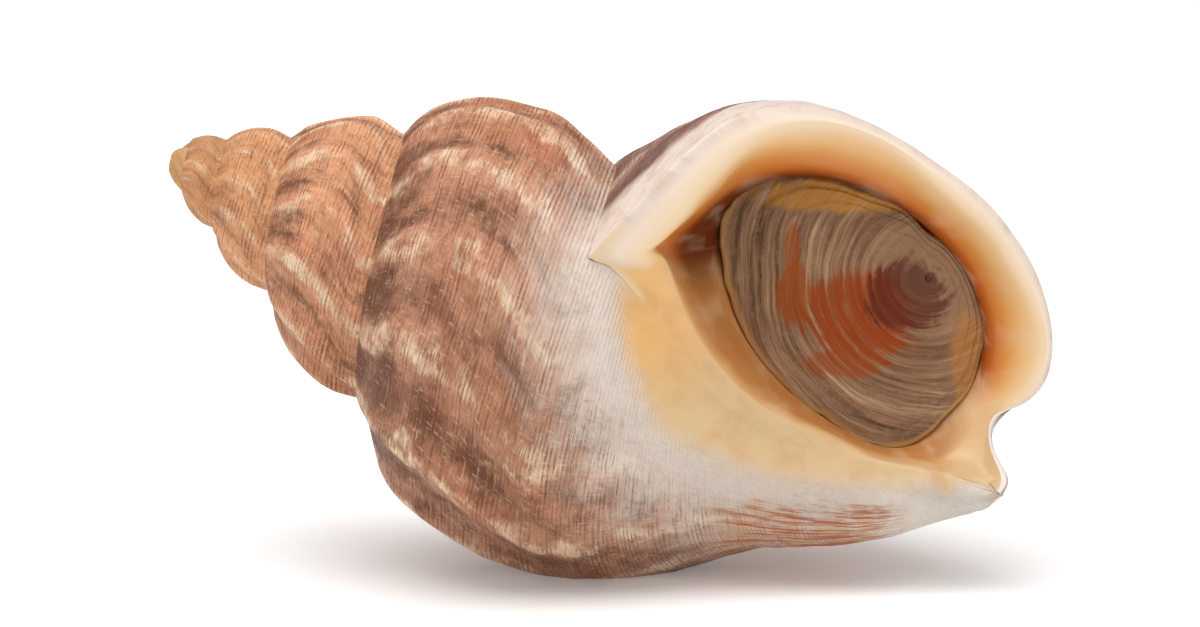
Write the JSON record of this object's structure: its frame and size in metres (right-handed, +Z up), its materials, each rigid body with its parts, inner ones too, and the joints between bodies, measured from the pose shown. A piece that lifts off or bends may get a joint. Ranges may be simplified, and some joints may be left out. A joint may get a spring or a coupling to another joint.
{
  "type": "whelk shell",
  "caption": "Common whelk shell lying on its side with the horny operculum closing its aperture; a decorative beach find or natural history model.",
  "frame": {"origin": "centre of the bounding box's bottom face, on the surface the shell rests on", "axes": "+X from the spire towards the siphonal canal, -Y towards the side the aperture faces, +Z up as it lies"},
  "size_m": [0.0886, 0.045, 0.0491],
  "materials": {
    "shell_lime": "matt outside with fine spiral threads, glazed inside the lip",
    "horny_plate": "satin, fibrous"
  },
  "bodies": {
    "root": {"shell": "shell_lime", "operculum": "horny_plate"}
  },
  "joints": []
}
